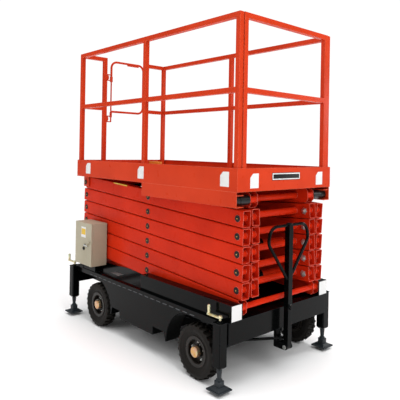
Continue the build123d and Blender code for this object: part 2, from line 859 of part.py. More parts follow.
def make_axles():
    """The rear axle with its stub ends, and the front axle with a fork at each end."""
    height = tyre_radius
    half = axle_size / 2
    rear = block((rear_wheel_x - half, rear_wheel_x + half), (-480, 480), (height - half, height + half))
    stub_end = wheel_y + stub_reach
    stubs = [
        across(rear_wheel_x, height, sign * 470, sign * stub_end, stub_radius) for sign in (-1, 1)
    ]
    seat_x = (rear_wheel_x - axle_seat_half, rear_wheel_x + axle_seat_half)
    seats = [block(seat_x, (y - 30, y + 30), (height + half, frame_bottom))
             for y in (-rail_centre, rail_centre)]
    save("rear_axle", fused([rear] + stubs + seats))

    x = front_wheel_x
    fork_low = height - knuckle_height / 2 - knuckle_gap
    fork_high = height + knuckle_height / 2 + knuckle_gap
    end = kingpin_y - knuckle_radius - 6
    beam = block((x - half, x + half), (-end, end), (height - half, height + half))
    forks = []
    for y in (-kingpin_y, kingpin_y):
        sign = 1 if y > 0 else -1
        back = block(
            (x - half, x + half),
            sorted((y - sign * (knuckle_radius + 24), y - sign * (knuckle_radius + 6))),
            (fork_low - 12, fork_high + 12),
        )
        for z in ((fork_low - 12, fork_low), (fork_high, fork_high + 12)):
            ear = block((x - 26, x + 26), sorted((y - sign * (knuckle_radius + 24), y)), z)
            forks += [ear, rod((x, y, z[0]), (x, y, z[1]), 26)]
        forks += [back, rod((x, y, fork_low - 12), (x, y, fork_high + 18), kingpin_radius)]
    seats = [
        block((x - axle_seat_half, x + axle_seat_half), (y - 30, y + 30), (height + half, frame_bottom))
        for y in (-rail_centre + 2, rail_centre - 2)
    ]
    save("front_axle", fused([beam] + forks + seats))


def make_knuckles():
    height = tyre_radius
    for side, sign in (("near", -1), ("far", 1)):
        y = sign * kingpin_y
        low, high = height - knuckle_height / 2, height + knuckle_height / 2
        barrel = rod((front_wheel_x, y, low), (front_wheel_x, y, high), knuckle_radius)
        stub = across(front_wheel_x, height, y, sign * (wheel_y + stub_reach), stub_radius)
        flange = across(front_wheel_x, height, y, sign * (kingpin_y + knuckle_radius + 8), 24)
        arm_x, arm_y = front_wheel_x + steer_arm_x, y + sign * steer_arm_y
        arm_z = (tie_rod_height - tie_rod_thickness / 2 - 11, tie_rod_height - tie_rod_thickness / 2 - 1)
        reach = [
            block((front_wheel_x, arm_x), sorted((y + sign * 6, arm_y + sign * 8)), (low + 44, high - 4)),
            rod((arm_x, arm_y, low + 44), (arm_x, arm_y, arm_z[1]), 14),
            rod((arm_x, arm_y, arm_z[0]), (arm_x, arm_y, tie_rod_height + tie_rod_thickness / 2 + 6),
                tie_pin_radius),
        ]
        hole = rod((front_wheel_x, y, low - 1), (front_wheel_x, y, high + 1), kingpin_radius + pin_clearance)
        save(f"steering_knuckle_{side}", fused([barrel, stub, flange] + reach) - hole)
        start = (swivel_x + steer_arm_x, sign * steer_arm_y, tie_rod_height)
        end = (arm_x, arm_y, tie_rod_height)
        half = tie_rod_thickness / 2
        bar = rod(start, end, tie_rod_radius)
        eyes, holes = [], []
        for px, py, pz in (start, end):
            eyes.append(rod((px, py, pz - half), (px, py, pz + half), tie_rod_eye))
            holes.append(rod((px, py, pz - half - 1), (px, py, pz + half + 1),
                             tie_pin_radius + pin_clearance))
        tie = fused([bar] + eyes)
        for hole in holes:
            tie -= hole
        save(f"tie_rod_{side}", tie)


def make_swivel():
    """The drawbar's turntable: a post under the front cross member, with a fork and a rod plate."""
    x, z = swivel_x, drawbar_pivot_height
    post_top = frame_bottom - bearing_height - 0.5
    post = rod((x, 0, swivel_bottom), (x, 0, post_top), swivel_radius)
    spindle = rod((x, 0, post_top - 5), (x, 0, frame_bottom + frame_wall + 20), 15)
    half = drawbar_tube / 2 + ear_gap
    ears = []
    for sign in (-1, 1):
        y = sorted((sign * half, sign * (half + ear_thickness)))
        ears.append(block((x, drawbar_x), y, (z - 24, z + 24)))
        ears.append(across(drawbar_x, z, y[0], y[1], 24))
    web = block((x, drawbar_x - drawbar_tube / 2 - 14), (-half - 2, half + 2), (z - 24, z + 24))
    pin = across(drawbar_x, z, -half - ear_thickness - 5, half + ear_thickness + 5, drawbar_pin_radius)
    plate_z = (tie_rod_height - tie_rod_thickness / 2 - 11, tie_rod_height - tie_rod_thickness / 2 - 1)
    pins = []
    plate = block((x, x + steer_arm_x), (-steer_arm_y - 12, steer_arm_y + 12), plate_z)
    for y in (-steer_arm_y, steer_arm_y):
        pins.append(rod((x + steer_arm_x, y, plate_z[0]), (x + steer_arm_x, y, plate_z[1]), 12))
        pins.append(rod((x + steer_arm_x, y, plate_z[0]),
                        (x + steer_arm_x, y, tie_rod_height + tie_rod_thickness / 2 + 6), tie_pin_radius))
    save("steering_swivel", fused([post, spindle, web, pin, plate] + ears + pins))


def make_drawbar():
    """A square bar with a tear-shaped loop of round tube, standing on its fork's pin."""
    x, z = drawbar_x, drawbar_pivot_height
    half = drawbar_tube / 2
    bar = block((x - half, x + half), (-half, half), (z, drawbar_top - 8))
    foot = across(x, z, -half, half, half)
    hole = across(x, z, -half - 1, half + 1, drawbar_pin_radius + pin_clearance)
    top = drawbar_top - loop_tube_radius - 4
    right = [
        (half - 4, loop_joint_height),
        (loop_half_width, loop_wide_height),
        (loop_half_width - 22, top),
        (half - 4, top),
    ]
    sides = []
    for sign in (-1, 1):
        corners = [(sign * y, height) for y, height in right]
        path = Plane(origin=(x, 0, 0), x_dir=(0, 1, 0), z_dir=(1, 0, 0)) * FilletPolyline(
            *corners, radius=(70, 90)
        )
        profile = Plane(origin=path @ 0, z_dir=path % 0) * Circle(loop_tube_radius)
        sides.append(sweep(profile, path=path))
    latch = block((x + half, x + half + 12), (-9, 9), (latch_low, latch_high))
    save("drawbar", fused([bar, foot] + sides + [latch]) - hole)


def make_wheels():
    """Four pressed steel wheels with narrow lug tyres and zinc hub caps."""
    wheel = wheel_parts()
    for end, x in (("rear", rear_wheel_x), ("front", front_wheel_x)):
        for side, sign in (("near", -1), ("far", 1)):
            place = Pos(x, sign * wheel_y, tyre_radius) * Rot(90 * -sign, 0, 0)
            for name, shape in wheel.items():
                save(f"{name}_{end}_{side}", place * shape)


def wheel_parts():
    """A tyre and a rim about local Z, with +Z as the outer face."""
    half = tyre_width / 2
    side = [(rim_radius + 1, tyre_bead_half), (tyre_wall_radius, half), (tyre_body_radius, tyre_shoulder_half)]
    section = side + [(radius, -height) for radius, height in reversed(side)]
    turn = 360 / tyre_sides
    faces = []
    for start, end in zip(section, section[1:] + section[:1]):
        for index in range(tyre_sides):
            corners = [
                Rot(0, 0, (index + step) * turn) * Pos(radius, 0, height)
                for (radius, height), step in ((start, 0), (end, 0), (end, 1), (start, 1))
            ]
            faces.append(Face(Wire.make_polygon([corner.position for corner in corners])))
    body = Solid(Shell(faces))
    lugs = []
    for index in range(tyre_sides):
        side = 1 if index % 2 else -1
        root, inside, outside = tyre_body_radius - 4, side * tyre_lug_inside, side * tyre_shoulder_half
        lug = Plane.XZ * make_face(Polyline(
            (root, inside), (tyre_lug_radius, inside), (tyre_lug_shoulder, outside), (root, outside),
            close=True,
        ))
        lugs.append(Rot(0, 0, (index + 0.5) * turn) * extrude(lug, tyre_lug_width / 2, both=True))
    return {"tyre": fused([body] + lugs), "rim": rim_shape()}


def rim_shape():
    """The rim well, the dished centre, the hub and its cap as one revolved wheel."""
    bead = rim_width / 2
    well = rim_radius - 14
    barrel = [
        (rim_radius, -bead + rim_wall), (rim_flange, -bead + rim_wall), (rim_flange, -bead),
        (well, -bead), (well - rim_wall, -bead + 6), (well - rim_wall, bead - 6), (well, bead),
        (rim_flange, bead), (rim_flange, bead - rim_wall), (rim_radius, bead - rim_wall),
    ]
    disc_z = bead - 40
    shell = revolved(barrel)
    disc = Pos(0, 0, disc_z) * Cylinder(well - 2, 7)
    hub = Pos(0, 0, (disc_z - 46 + bead - 14) / 2) * Cylinder(hub_radius, bead - 14 - disc_z + 46)
    cap_low = bead - 14
    cap = Pos(0, 0, cap_low + hub_cap_length / 2) * Cylinder(hub_cap_radius, hub_cap_length)
    cap = fillet(cap.edges().sort_by(Axis.Z)[-1], 6)
    bore_low, bore_high = disc_z - 60, cap_low + hub_cap_length - 8
    bore = Pos(0, 0, (bore_low + bore_high) / 2) * Cylinder(
        stub_radius + bearing_clearance, bore_high - bore_low
    )
    return fused([shell, disc, hub, cap]) - bore


def revolved(points):
    """A ring from a closed section of radius and height pairs."""
    with BuildSketch(Plane.XZ) as section:
        with BuildLine():
            Polyline(*points, close=True)
        make_face()
    return revolve(section.sketch, axis=Axis.Z)


def make_cabinet():
    x, z = (cabinet_rear, cabinet_front), (cabinet_bottom, cabinet_top)
    front = -cabinet_face + door_thickness + door_gap
    case = block(x, (front, -cabinet_back), z)
    wall = cabinet_wall
    space = block(
        (x[0] + wall, x[1] - wall), (front - 1, -cabinet_back - wall), (z[0] + wall, z[1] - wall)
    )
    flange = 14
    opening = block(
        (x[0] + flange, x[1] - flange), (front - 1, front + 20), (z[0] + flange, z[1] - flange)
    )
    lip = block(x, (front, front + wall), z) - opening
    stand_x, stand_y = (x[0] + 40, x[1] - 40), (-side_face + 8, -cabinet_back - 23)
    stand = block(stand_x, stand_y, (frame_top, cabinet_bottom)) - block(
        (stand_x[0] - 1, stand_x[1] + 1), (stand_y[0] + 4, stand_y[1] - 4),
        (frame_top + 4, cabinet_bottom - 4),
    )
    hinge_x, hinge_y = x[0] - door_hinge_radius / 2, -cabinet_face + door_thickness - 3
    save("cabinet", fused([case - space, lip]))
    save("cabinet_stand", stand)
    door = block((x[0], x[1]), (-cabinet_face, -cabinet_face + door_thickness), z)
    pan = block(
        (x[0] + wall, x[1] - wall), (-cabinet_face + wall, -cabinet_face + door_thickness + 1),
        (z[0] + wall, z[1] - wall),
    )
    knuckles = [
        rod((hinge_x, hinge_y, height), (hinge_x, hinge_y, height + 40), door_hinge_radius)
        for height in (z[0] + 50, z[1] - 90)
    ]
    lock_x, lock_z = x[1] - 70, (z[0] + z[1]) / 2
    lock = across(lock_x, lock_z, -cabinet_face - 16, -cabinet_face + wall, 13)
    lever = block((lock_x - 7, lock_x + 62), (-cabinet_face - 20, -cabinet_face - 10), (lock_z - 7, lock_z + 7))
    lever = Pos(lock_x, 0, lock_z) * Rot(0, -35, 0) * Pos(-lock_x, 0, -lock_z) * lever
    save("cabinet_door", fused([door - pan, lock, lever] + knuckles))


os.makedirs("parts", exist_ok=True)
make_scissor()
make_cylinders()
make_platform()
make_guardrail()
make_gate()
make_chassis()
make_knuckles()
make_swivel()
make_drawbar()
make_wheels()
make_cabinet()
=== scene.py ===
import math

import bpy
from mathutils import Matrix, Vector


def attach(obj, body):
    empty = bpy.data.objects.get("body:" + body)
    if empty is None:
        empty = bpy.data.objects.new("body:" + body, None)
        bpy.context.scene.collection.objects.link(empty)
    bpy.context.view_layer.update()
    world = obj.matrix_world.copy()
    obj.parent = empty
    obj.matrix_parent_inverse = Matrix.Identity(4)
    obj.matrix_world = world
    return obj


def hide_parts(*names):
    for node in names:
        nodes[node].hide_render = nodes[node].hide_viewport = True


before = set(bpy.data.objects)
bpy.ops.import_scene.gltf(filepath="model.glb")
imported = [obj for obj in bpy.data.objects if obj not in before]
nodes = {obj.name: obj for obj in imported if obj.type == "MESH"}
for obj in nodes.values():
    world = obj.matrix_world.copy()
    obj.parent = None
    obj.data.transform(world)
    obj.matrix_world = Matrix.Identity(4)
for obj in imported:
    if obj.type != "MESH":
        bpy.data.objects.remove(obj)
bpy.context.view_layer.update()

bpy.ops.object.select_all(action="DESELECT")


# Camera
# The photograph is taken from a standing person's height, off the machine's near front corner.
# The lens axis is level and the picture is shifted up, so that uprights stay upright.
camera_place = (3.6128, -3.0937, 1.7422)
camera_heading = 138.33
camera_roll = 1.0
lens_pixels = 489.755
horizon_pixel = 150.07
frame_pixels = 400
sensor_width = 36.0

camera_data = bpy.data.cameras.new("camera")
camera_data.sensor_width = sensor_width
camera_data.lens = lens_pixels / frame_pixels * sensor_width
camera_data.shift_y = (horizon_pixel - frame_pixels / 2) / frame_pixels
camera = bpy.data.objects.new("camera", camera_data)
bpy.context.scene.collection.objects.link(camera)
heading = math.radians(camera_heading)
ahead = Vector((math.cos(heading), math.sin(heading), 0.0))
camera.rotation_mode = "QUATERNION"
level = ahead.to_track_quat("-Z", "Y")
camera.rotation_quaternion = level @ Matrix.Rotation(math.radians(camera_roll), 3, "Z").to_quaternion()
camera.location = camera_place
bpy.context.scene.camera = camera


# Chassis
# Welded steel frame, skirts, deck and channels, sprayed with black gloss enamel.
# Its edges are painted paler, a painted highlight where light catches them, and it has a faint orange peel.
def linear(hex_colour):
    """An sRGB hex colour as the linear colour that a shader takes."""
    values = [int(hex_colour[i:i + 2], 16) / 255 for i in (1, 3, 5)]
    return [v / 12.92 if v < 0.04045 else ((v + 0.055) / 1.055) ** 2.4 for v in values] + [1.0]


def add(tree, kind, sockets=None, **settings):
    """A shader node with its settings; a socket gets a value, or another node's output."""
    node = tree.nodes.new("ShaderNode" + kind)
    for name, value in settings.items():
        setattr(node, name, value)
    for name, value in (sockets or {}).items():
        if isinstance(value, bpy.types.NodeSocket):
            tree.links.new(value, node.inputs[name])
        else:
            node.inputs[name].default_value = value
    return node


def new_material(name):
    """An empty node material and its node tree."""
    made = bpy.data.materials.new(name)
    made.use_nodes = True
    made.node_tree.nodes.clear()
    return made, made.node_tree


def per_metre(millimetres):
    """The texture scale that repeats a pattern once in this many millimetres."""
    return 1000.0 / millimetres


cloud_mm, haze_mm = 380.0, 70.0


def sprayed_enamel(name, colour, shade, edge, roughness, edge_mm=2.5, peel_mm=8.0, gloss=0.4):
    """Gloss enamel: cloudy in tone over an arm's length, uneven in gloss, with the edge colour mixed in on
    its edges as a painted highlight.
    """
    made, tree = new_material(name)
    place = add(tree, "TexCoord").outputs["Object"]
    cloud = add(tree, "TexNoise", {"Vector": place, "Scale": per_metre(cloud_mm), "Detail": 3.0})
    ramp = add(tree, "MapRange", {"Value": cloud.outputs["Fac"], "From Min": 0.35, "From Max": 0.65})
    tone = add(tree, "Mix", {
        "Factor": ramp.outputs["Result"], 6: linear(colour), 7: linear(shade),
    }, data_type="RGBA")
    rounded = add(tree, "Bevel", {"Radius": edge_mm / 1000}, samples=4)
    flat = add(tree, "NewGeometry").outputs["Normal"]
    turn = add(tree, "VectorMath", {0: rounded.outputs["Normal"], 1: flat}, operation="DOT_PRODUCT")
    # Painted highlight: where the bevelled normal turns away from the flat one, the colour is mixed towards
    # the pale edge colour.
    edge_highlight_mask = add(tree, "MapRange", {
        "Value": turn.outputs["Value"], "From Min": 0.99, "From Max": 0.82, "To Max": 0.75,
    })
    painted_highlight_tone = add(tree, "Mix", {
        "Factor": edge_highlight_mask.outputs["Result"], 6: tone.outputs[2], 7: linear(edge),
    }, data_type="RGBA")
    haze = add(tree, "TexNoise", {"Vector": place, "Scale": per_metre(haze_mm), "Detail": 5.0})
    rough = add(tree, "MapRange", {
        "Value": haze.outputs["Fac"], "From Min": 0.3, "From Max": 0.7,
        "To Min": roughness * 0.8, "To Max": roughness * 1.25,
    })
    peel = add(tree, "TexNoise", {"Vector": place, "Scale": per_metre(peel_mm), "Detail": 1.0})
    bump = add(tree, "Bump", {
        "Height": peel.outputs["Fac"], "Strength": 0.2, "Distance": 0.00005,
        "Normal": rounded.outputs["Normal"],
    })
    shader = add(tree, "BsdfPrincipled", {
        "Base Color": painted_highlight_tone.outputs[2], "Roughness": rough.outputs["Result"],
        "Normal": bump.outputs["Normal"], "IOR": 1.5, "Specular IOR Level": gloss,
    })
    add(tree, "OutputMaterial", {"Surface": shader.outputs["BSDF"]})
    return made


def finish_nodes(made, *names):
    """Gives CAD nodes their material."""
    for name in names:
        slots = nodes[name].material_slots
        if not slots:
            nodes[name].data.materials.append(made)
        for one in slots:
            one.material = made


black_enamel = sprayed_enamel("black_gloss_enamel", "#040505", "#070808", "#43474d", 0.15, gloss=0.08)
finish_nodes(
    black_enamel, "chassis_frame", "side_beams", "deck_plate", "side_skirts", "power_unit_box",
    "power_unit", "roller_channels", "pivot_brackets", "jack_columns", "rear_axle", "front_axle",
    "cabinet_stand", "steering_swivel", "steering_knuckle_near", "steering_knuckle_far",
    "tie_rod_near", "tie_rod_far", "drawbar", "lower_cylinder_barrel", "upper_cylinder_barrel",
)
ends = {"front": 0.828, "rear": -0.627}
sides = {"near": -1, "far": 1}
corners = [f"{end}_{side}" for end in ends for side in sides]


# Weld beads
# The skirts are stitch welded under the side beams: short round beads with gaps between them.
# They are painted pale grey, a painted highlight, so they read as a pale dashed line.
def begin(add_primitive, name, **where):
    """Adds a primitive with nothing else selected, and names it."""
    bpy.ops.object.select_all(action="DESELECT")
    add_primitive(**where)
    made = bpy.context.object
    made.name = name
    return made


def settle(made, bevel_mm=0.0, smooth_degrees=40.0):
    """Bevels the edges, applies place and modifiers, and smooths what is round."""
    bpy.context.view_layer.objects.active = made
    made.select_set(True)
    bpy.ops.object.transform_apply(location=True, rotation=True, scale=True)
    if bevel_mm:
        edge = made.modifiers.new("edge", "BEVEL")
        edge.width = bevel_mm / 1000
        edge.segments = 2
        edge.limit_method = "ANGLE"
        bpy.ops.object.modifier_apply(modifier=edge.name)
    bpy.ops.object.shade_smooth_by_angle(angle=math.radians(smooth_degrees))
    return made


def turned(name, profile, count=32, smooth_degrees=40.0):
    """A turned piece about Z: a disc pulled up and resized through (radius, height) pairs in mm."""
    radius, height = (value / 1000 for value in profile[0])
    made = begin(bpy.ops.mesh.primitive_circle_add, name, vertices=count, radius=radius,
                 fill_type="NGON", location=(0.0, 0.0, height))
    bpy.ops.object.mode_set(mode="EDIT")
    bpy.ops.mesh.select_mode(type="FACE")
    bpy.ops.mesh.select_all(action="SELECT")
    for next_radius, next_height in profile[1:]:
        rise = next_height / 1000 - height
        bpy.ops.mesh.extrude_region_move(TRANSFORM_OT_translate={"value": (0.0, 0.0, rise)})
        scale = next_radius / 1000 / radius
        height = next_height / 1000
        bpy.ops.transform.resize(value=(scale, scale, 1.0), center_override=(0.0, 0.0, height))
        radius = next_radius / 1000
    bpy.ops.mesh.select_all(action="SELECT")
    bpy.ops.mesh.normals_make_consistent(inside=False)
    bpy.ops.object.mode_set(mode="OBJECT")
    return settle(made, smooth_degrees=smooth_degrees)


def joined(name, pieces):
    """One piece from several."""
    bpy.ops.object.select_all(action="DESELECT")
    for piece in pieces:
        piece.select_set(True)
    bpy.context.view_layer.objects.active = pieces[0]
    if len(pieces) > 1:
        bpy.ops.object.join()
    made = bpy.context.object
    made.name = name
    return made


def set_out(pattern, name, places):
    """Copies of a pattern at each place, joined as one piece; the pattern stays for further use."""
    copies = []
    for place in places:
        copy = pattern.copy()
        copy.data = pattern.data.copy()
        copy.data.transform(place)
        bpy.context.scene.collection.objects.link(copy)
        copies.append(copy)
    return joined(name, copies)


def drop(pattern):
    """Removes a pattern once its copies are set out."""
    bpy.data.objects.remove(pattern)


def dress(made, material, body):
    """Gives a new piece its material and its body."""
    made.data.materials.clear()
    made.data.materials.append(material)
    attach(made, body)


def facing_out(x, y, z, side):
    """A place on a side of the machine, with local Z pointing out of it: -1 is the near side."""
    return Matrix.Translation((x, y * side, z)) @ Matrix.Rotation(-side * math.pi / 2, 4, "X")


weld_height = 0.4735
weld_face = 0.6198
bead_step = 0.086
bead_count = 19
# Painted highlight: the beads' pale grey stands in for light catching them.
bead_highlight_paint = sprayed_enamel("thin_enamel_on_weld", "#484a4d", "#56585b", "#77797c", 0.3, gloss=0.3)
bead = turned("bead", [
    (0.6, -29.0), (2.6, -27.0), (3.2, -10.0), (2.8, 0.0), (3.2, 12.0), (2.6, 27.0), (0.6, 29.0),
], count=10)
lying = Matrix.Rotation(math.pi / 2, 4, "Y")
beads = set_out(bead, "skirt_welds", [
    Matrix.Translation((bead_step * (index - (bead_count - 1) / 2), weld_face * side, weld_height)) @ lying
    for index in range(bead_count) for side in (-1, 1)
])
drop(bead)
dress(beads, bead_highlight_paint, "chassis")


# Tyres and wheels
# Tyres are moulded natural rubber, brown-black and dull, with raised rings round the sidewall.
# Rims are pressed steel in black enamel, each held by five zinc plated nuts.
def moulded_rubber():
    """Dull rubber with a brown bloom in patches and a fine grain."""
    made, tree = new_material("moulded_rubber")
    place = add(tree, "TexCoord").outputs["Object"]
    bloom = add(tree, "TexNoise", {"Vector": place, "Scale": per_metre(60.0), "Detail": 6.0})
    tone = add(tree, "Mix", {
        "Factor": bloom.outputs["Fac"], 6: linear("#110f0d"), 7: linear("#1e1a16"),
    }, data_type="RGBA")
    grain = add(tree, "TexNoise", {"Vector": place, "Scale": per_metre(4.0), "Detail": 3.0})
    rounded = add(tree, "Bevel", {"Radius": 0.0025}, samples=4)
    bump = add(tree, "Bump", {
        "Height": grain.outputs["Fac"], "Strength": 0.3, "Distance": 0.0006,
        "Normal": rounded.outputs["Normal"],
    })
    shader = add(tree, "BsdfPrincipled", {
        "Base Color": tone.outputs[2], "Roughness": 0.6, "Normal": bump.outputs["Normal"],
        "IOR": 1.52, "Specular IOR Level": 0.15,
    })
    add(tree, "OutputMaterial", {"Surface": shader.outputs["BSDF"]})
    return made


rubber = moulded_rubber()
rim_enamel = sprayed_enamel("rim_enamel", "#15120e", "#1e1914", "#443c33", 0.3, gloss=0.25)
finish_nodes(rubber, *(f"tyre_{corner}" for corner in corners))
finish_nodes(rim_enamel, *(f"rim_{corner}" for corner in corners))
wheel_y = 0.585
wheel_radius = 0.21


def sidewall_ring(name, radius, height, thickness):
    """A raised ring, moulded on a tyre's side wall about local Z."""
    made = begin(bpy.ops.mesh.primitive_torus_add, name, major_radius=radius, minor_radius=thickness,
                 major_segments=72, minor_segments=8, location=(0.0, 0.0, height))
    bpy.ops.object.mode_set(mode="EDIT")
    bpy.ops.mesh.select_all(action="SELECT")
    bpy.ops.transform.resize(value=(1.0, 1.0, 0.7), center_override=(0.0, 0.0, height))
    bpy.ops.object.mode_set(mode="OBJECT")
    return settle(made)


def plated(name, low, middle, high, metallic, roughness, film_mm=38.0):
    """Plated steel whose thin film shifts in colour from place to place."""
    made, tree = new_material(name)
    place = add(tree, "TexCoord").outputs["Object"]
    film = add(tree, "TexNoise", {"Vector": place, "Scale": per_metre(film_mm), "Detail": 2.0})
    hue = add(tree, "ValToRGB", {"Fac": film.outputs["Fac"]})
    stops = hue.color_ramp.elements
    stops[0].position, stops[0].color = 0.32, linear(low)
    stops[1].position, stops[1].color = 0.68, linear(high)
    stops.new(0.5).color = linear(middle)
    marks = add(tree, "TexNoise", {"Vector": place, "Scale": per_metre(9.0), "Detail": 4.0})
    rough = add(tree, "MapRange", {
        "Value": marks.outputs["Fac"], "To Min": roughness * 0.7, "To Max": roughness * 1.4,
    })
    rounded = add(tree, "Bevel", {"Radius": 0.0012}, samples=4)
    shader = add(tree, "BsdfPrincipled", {
        "Base Color": hue.outputs["Color"], "Metallic": metallic, "Roughness": rough.outputs["Result"],
        "Normal": rounded.outputs["Normal"],
    })
    add(tree, "OutputMaterial", {"Surface": shader.outputs["BSDF"]})
    return made


yellow_zinc = plated("yellow_zinc_plate", "#cdb87c", "#dcd2ae", "#c0cda6", 0.75, 0.32)
bright_zinc = plated("bright_zinc_plate", "#b9bbb8", "#c9cbc8", "#a9aca8", 0.9, 0.32)
hub_zinc = plated("hub_zinc_plate", "#d3a75c", "#d9a98c", "#b3c188", 0.8, 0.3, 30.0)
cap = turned("cap", [(41.0, 30.0), (41.0, 50.0), (39.4, 55.5), (33.0, 59.0), (15.0, 60.4), (13.0, 59.6)])
nut = turned("nut", [
    (11.0, 5.0), (11.0, 6.5), (9.6, 6.6), (9.6, 15.0), (8.2, 16.6), (5.0, 16.7), (5.0, 23.0), (4.0, 24.0),
], count=6, smooth_degrees=20.0)
valve = turned("valve", [
    (3.5, 0.0), (3.5, 14.0), (2.6, 15.0), (2.6, 27.0), (3.6, 28.0), (3.6, 35.0), (2.4, 37.0),
], count=12)
rings = [
    sidewall_ring("ring_low", 0.1235, 0.0392, 0.0024),
    sidewall_ring("ring_mid", 0.1365, 0.0436, 0.0015),
    sidewall_ring("ring_high", 0.1640, 0.0526, 0.0019),
]
nut_count, nut_circle, first_nut_degrees = 5, 0.068, 18.0
valve_degrees, valve_circle, valve_seat = 54.0, 0.082, 0.005
for end, x in ends.items():
    for side, sign in sides.items():
        corner = f"{end}_{side}"
        body = f"wheel_{corner}"
        outer = facing_out(x, wheel_y, wheel_radius, sign)
        dress(set_out(cap, f"hub_cap_{corner}", [outer]), hub_zinc, body)
        ring_of_nuts = []
        for index in range(nut_count):
            turn = Matrix.Rotation(math.radians(360.0 / nut_count * index + first_nut_degrees), 4, "Z")
            ring_of_nuts.append(outer @ turn @ Matrix.Translation((nut_circle, 0.0, 0.0)))
        dress(set_out(nut, f"wheel_nuts_{corner}", ring_of_nuts), bright_zinc, body)
        turn = Matrix.Rotation(math.radians(valve_degrees), 4, "Z")
        stem = outer @ turn @ Matrix.Translation((valve_circle, 0.0, valve_seat))
        dress(set_out(valve, f"valve_{corner}", [stem]), bright_zinc, body)
        moulded = [set_out(ring, f"{ring.name}_{corner}", [outer]) for ring in reversed(rings)]
        dress(joined(f"sidewall_rings_{corner}", moulded), rubber, body)
for pattern in [cap, nut, valve, *rings]:
    drop(pattern)


# Jacks
# Screw jacks with forged feet in dark slate paint, wound by yellow zinc plated cranks.
# Each crank has a flat bar, a turned boss and an upright turned grip that runs loose on its pin.
def plate(name, low, high, bevel_mm, cut=None):
    """A thin plate between two corners, with rounded edges and perhaps one corner cut off."""
    middle = [(a + b) / 2 for a, b in zip(low, high)]
    size = [b - a for a, b in zip(low, high)]
    made = begin(bpy.ops.mesh.primitive_cube_add, name, size=1.0, location=middle, scale=size)
    bpy.ops.object.transform_apply(location=True, rotation=True, scale=True)
    bpy.ops.object.mode_set(mode="EDIT")
    if cut:
        place, normal = cut
        bpy.ops.mesh.select_all(action="SELECT")
        bpy.ops.mesh.bisect(plane_co=place, plane_no=normal, clear_outer=True, use_fill=True)
    bpy.ops.mesh.select_all(action="SELECT")
    bpy.ops.mesh.normals_make_consistent(inside=False)
    bpy.ops.object.mode_set(mode="OBJECT")
    return settle(made, bevel_mm)


slate_paint = sprayed_enamel("slate_paint", "#1d2226", "#262b2f", "#565e64", 0.4, gloss=0.25)
finish_nodes(slate_paint, *(f"jack_leg_{corner}" for corner in corners))
finish_nodes(yellow_zinc, "jack_cranks")
column_x, column_y, column_top = 1.1, 0.635, 0.505
crank_length, grip_seat, boss_seat = 0.12, 0.038, 0.042
bar_past_end, bar_half, bar_low, bar_high = 0.012, 0.0125, 0.03, 0.0395
grip = turned("grip", [
    (8.0, 1.0), (11.0, 3.0), (11.8, 8.0), (10.6, 16.0), (11.4, 34.0), (12.6, 50.0), (12.2, 60.0),
    (9.0, 65.5), (4.0, 67.0),
], count=20)
boss = turned("boss", [
    (17.0, -3.0), (18.5, -2.0), (18.5, 1.0), (15.0, 4.0), (13.0, 5.0), (13.0, 9.0), (11.0, 10.0),
], count=24)
bar = plate("bar", (-crank_length - bar_past_end, -bar_half, bar_low),
            (bar_past_end, bar_half, bar_high), 2.0)
crank_places = [(x, y) for x in (-column_x, column_x) for y in (-column_y, column_y)]
for pattern, name, x_offset, seat in (
    (grip, "crank_grips", -crank_length, grip_seat), (boss, "crank_bosses", 0.0, boss_seat),
    (bar, "crank_bars", 0.0, 0.0),
):
    places = [Matrix.Translation((x + x_offset, y, column_top + seat)) for x, y in crank_places]
    dress(set_out(pattern, name, places), yellow_zinc, "chassis")
    drop(pattern)


# Control cabinet
# Folded sheet steel, powder coated beige with a fine pebble texture.
# The door has a black quarter-turn lock, a plated lever and a blank plate with a yellow panel.
beige_powder = sprayed_enamel(
    "beige_powder_coat", "#b0a892", "#a59d87", "#cbc3ad", 0.5, peel_mm=6.0, gloss=0.3,
)
finish_nodes(beige_powder, "cabinet", "cabinet_door")


def matt_plastic(name, colour, shade, roughness):
    """Moulded plastic or printed film with a fine even grain."""
    made, tree = new_material(name)
    place = add(tree, "TexCoord").outputs["Object"]
    grain = add(tree, "TexNoise", {"Vector": place, "Scale": per_metre(3.0), "Detail": 3.0})
    tone = add(tree, "Mix", {
        "Factor": grain.outputs["Fac"], 6: linear(colour), 7: linear(shade),
    }, data_type="RGBA")
    bump = add(tree, "Bump", {"Height": grain.outputs["Fac"], "Strength": 0.1, "Distance": 0.0002})
    shader = add(tree, "BsdfPrincipled", {
        "Base Color": tone.outputs[2], "Roughness": roughness, "Normal": bump.outputs["Normal"],
        "IOR": 1.49, "Specular IOR Level": 0.2,
    })
    add(tree, "OutputMaterial", {"Surface": shader.outputs["BSDF"]})
    return made


black_plastic = matt_plastic("black_nylon", "#141414", "#1d1d1d", 0.45)
white_film = matt_plastic("white_film", "#e8e8e6", "#dedede", 0.4)
yellow_film = matt_plastic("yellow_film", "#e3bd45", "#d9b13a", 0.4)
door_face = -0.68
behind_face = door_face + 0.001
dress(plate("cabinet_plate", (-0.885, door_face - 0.0012, 0.845), (-0.795, behind_face, 0.95), 0.4),
      white_film, "cabinet_door")
dress(plate("cabinet_plate_panel", (-0.88, door_face - 0.0018, 0.872), (-0.8, behind_face, 0.932), 0.2),
      yellow_film, "cabinet_door")
lock_x, lock_z = -0.827, 0.737
lock = turned("lock", [
    (19.0, -1.0), (19.0, 2.0), (17.0, 4.0), (14.5, 4.4), (14.0, 10.0), (12.5, 11.0),
], count=28)
dress(set_out(lock, "cabinet_lock", [facing_out(lock_x, -door_face, lock_z, -1)]),
      black_plastic, "cabinet_door")
drop(lock)
lever_x, lever_z = -0.803, 0.773
pivot = turned("pivot", [(10.0, -1.0), (10.0, 7.0), (8.5, 9.0), (6.0, 9.4)], count=20)
dress(set_out(pivot, "cabinet_lever_pivot", [facing_out(lever_x, -door_face, lever_z, -1)]),
      black_plastic, "cabinet_door")
drop(pivot)
lever_tail, lever_reach, lever_half = 0.006, 0.064, 0.0075
lever_front, lever_back = door_face - 0.018, door_face - 0.0085
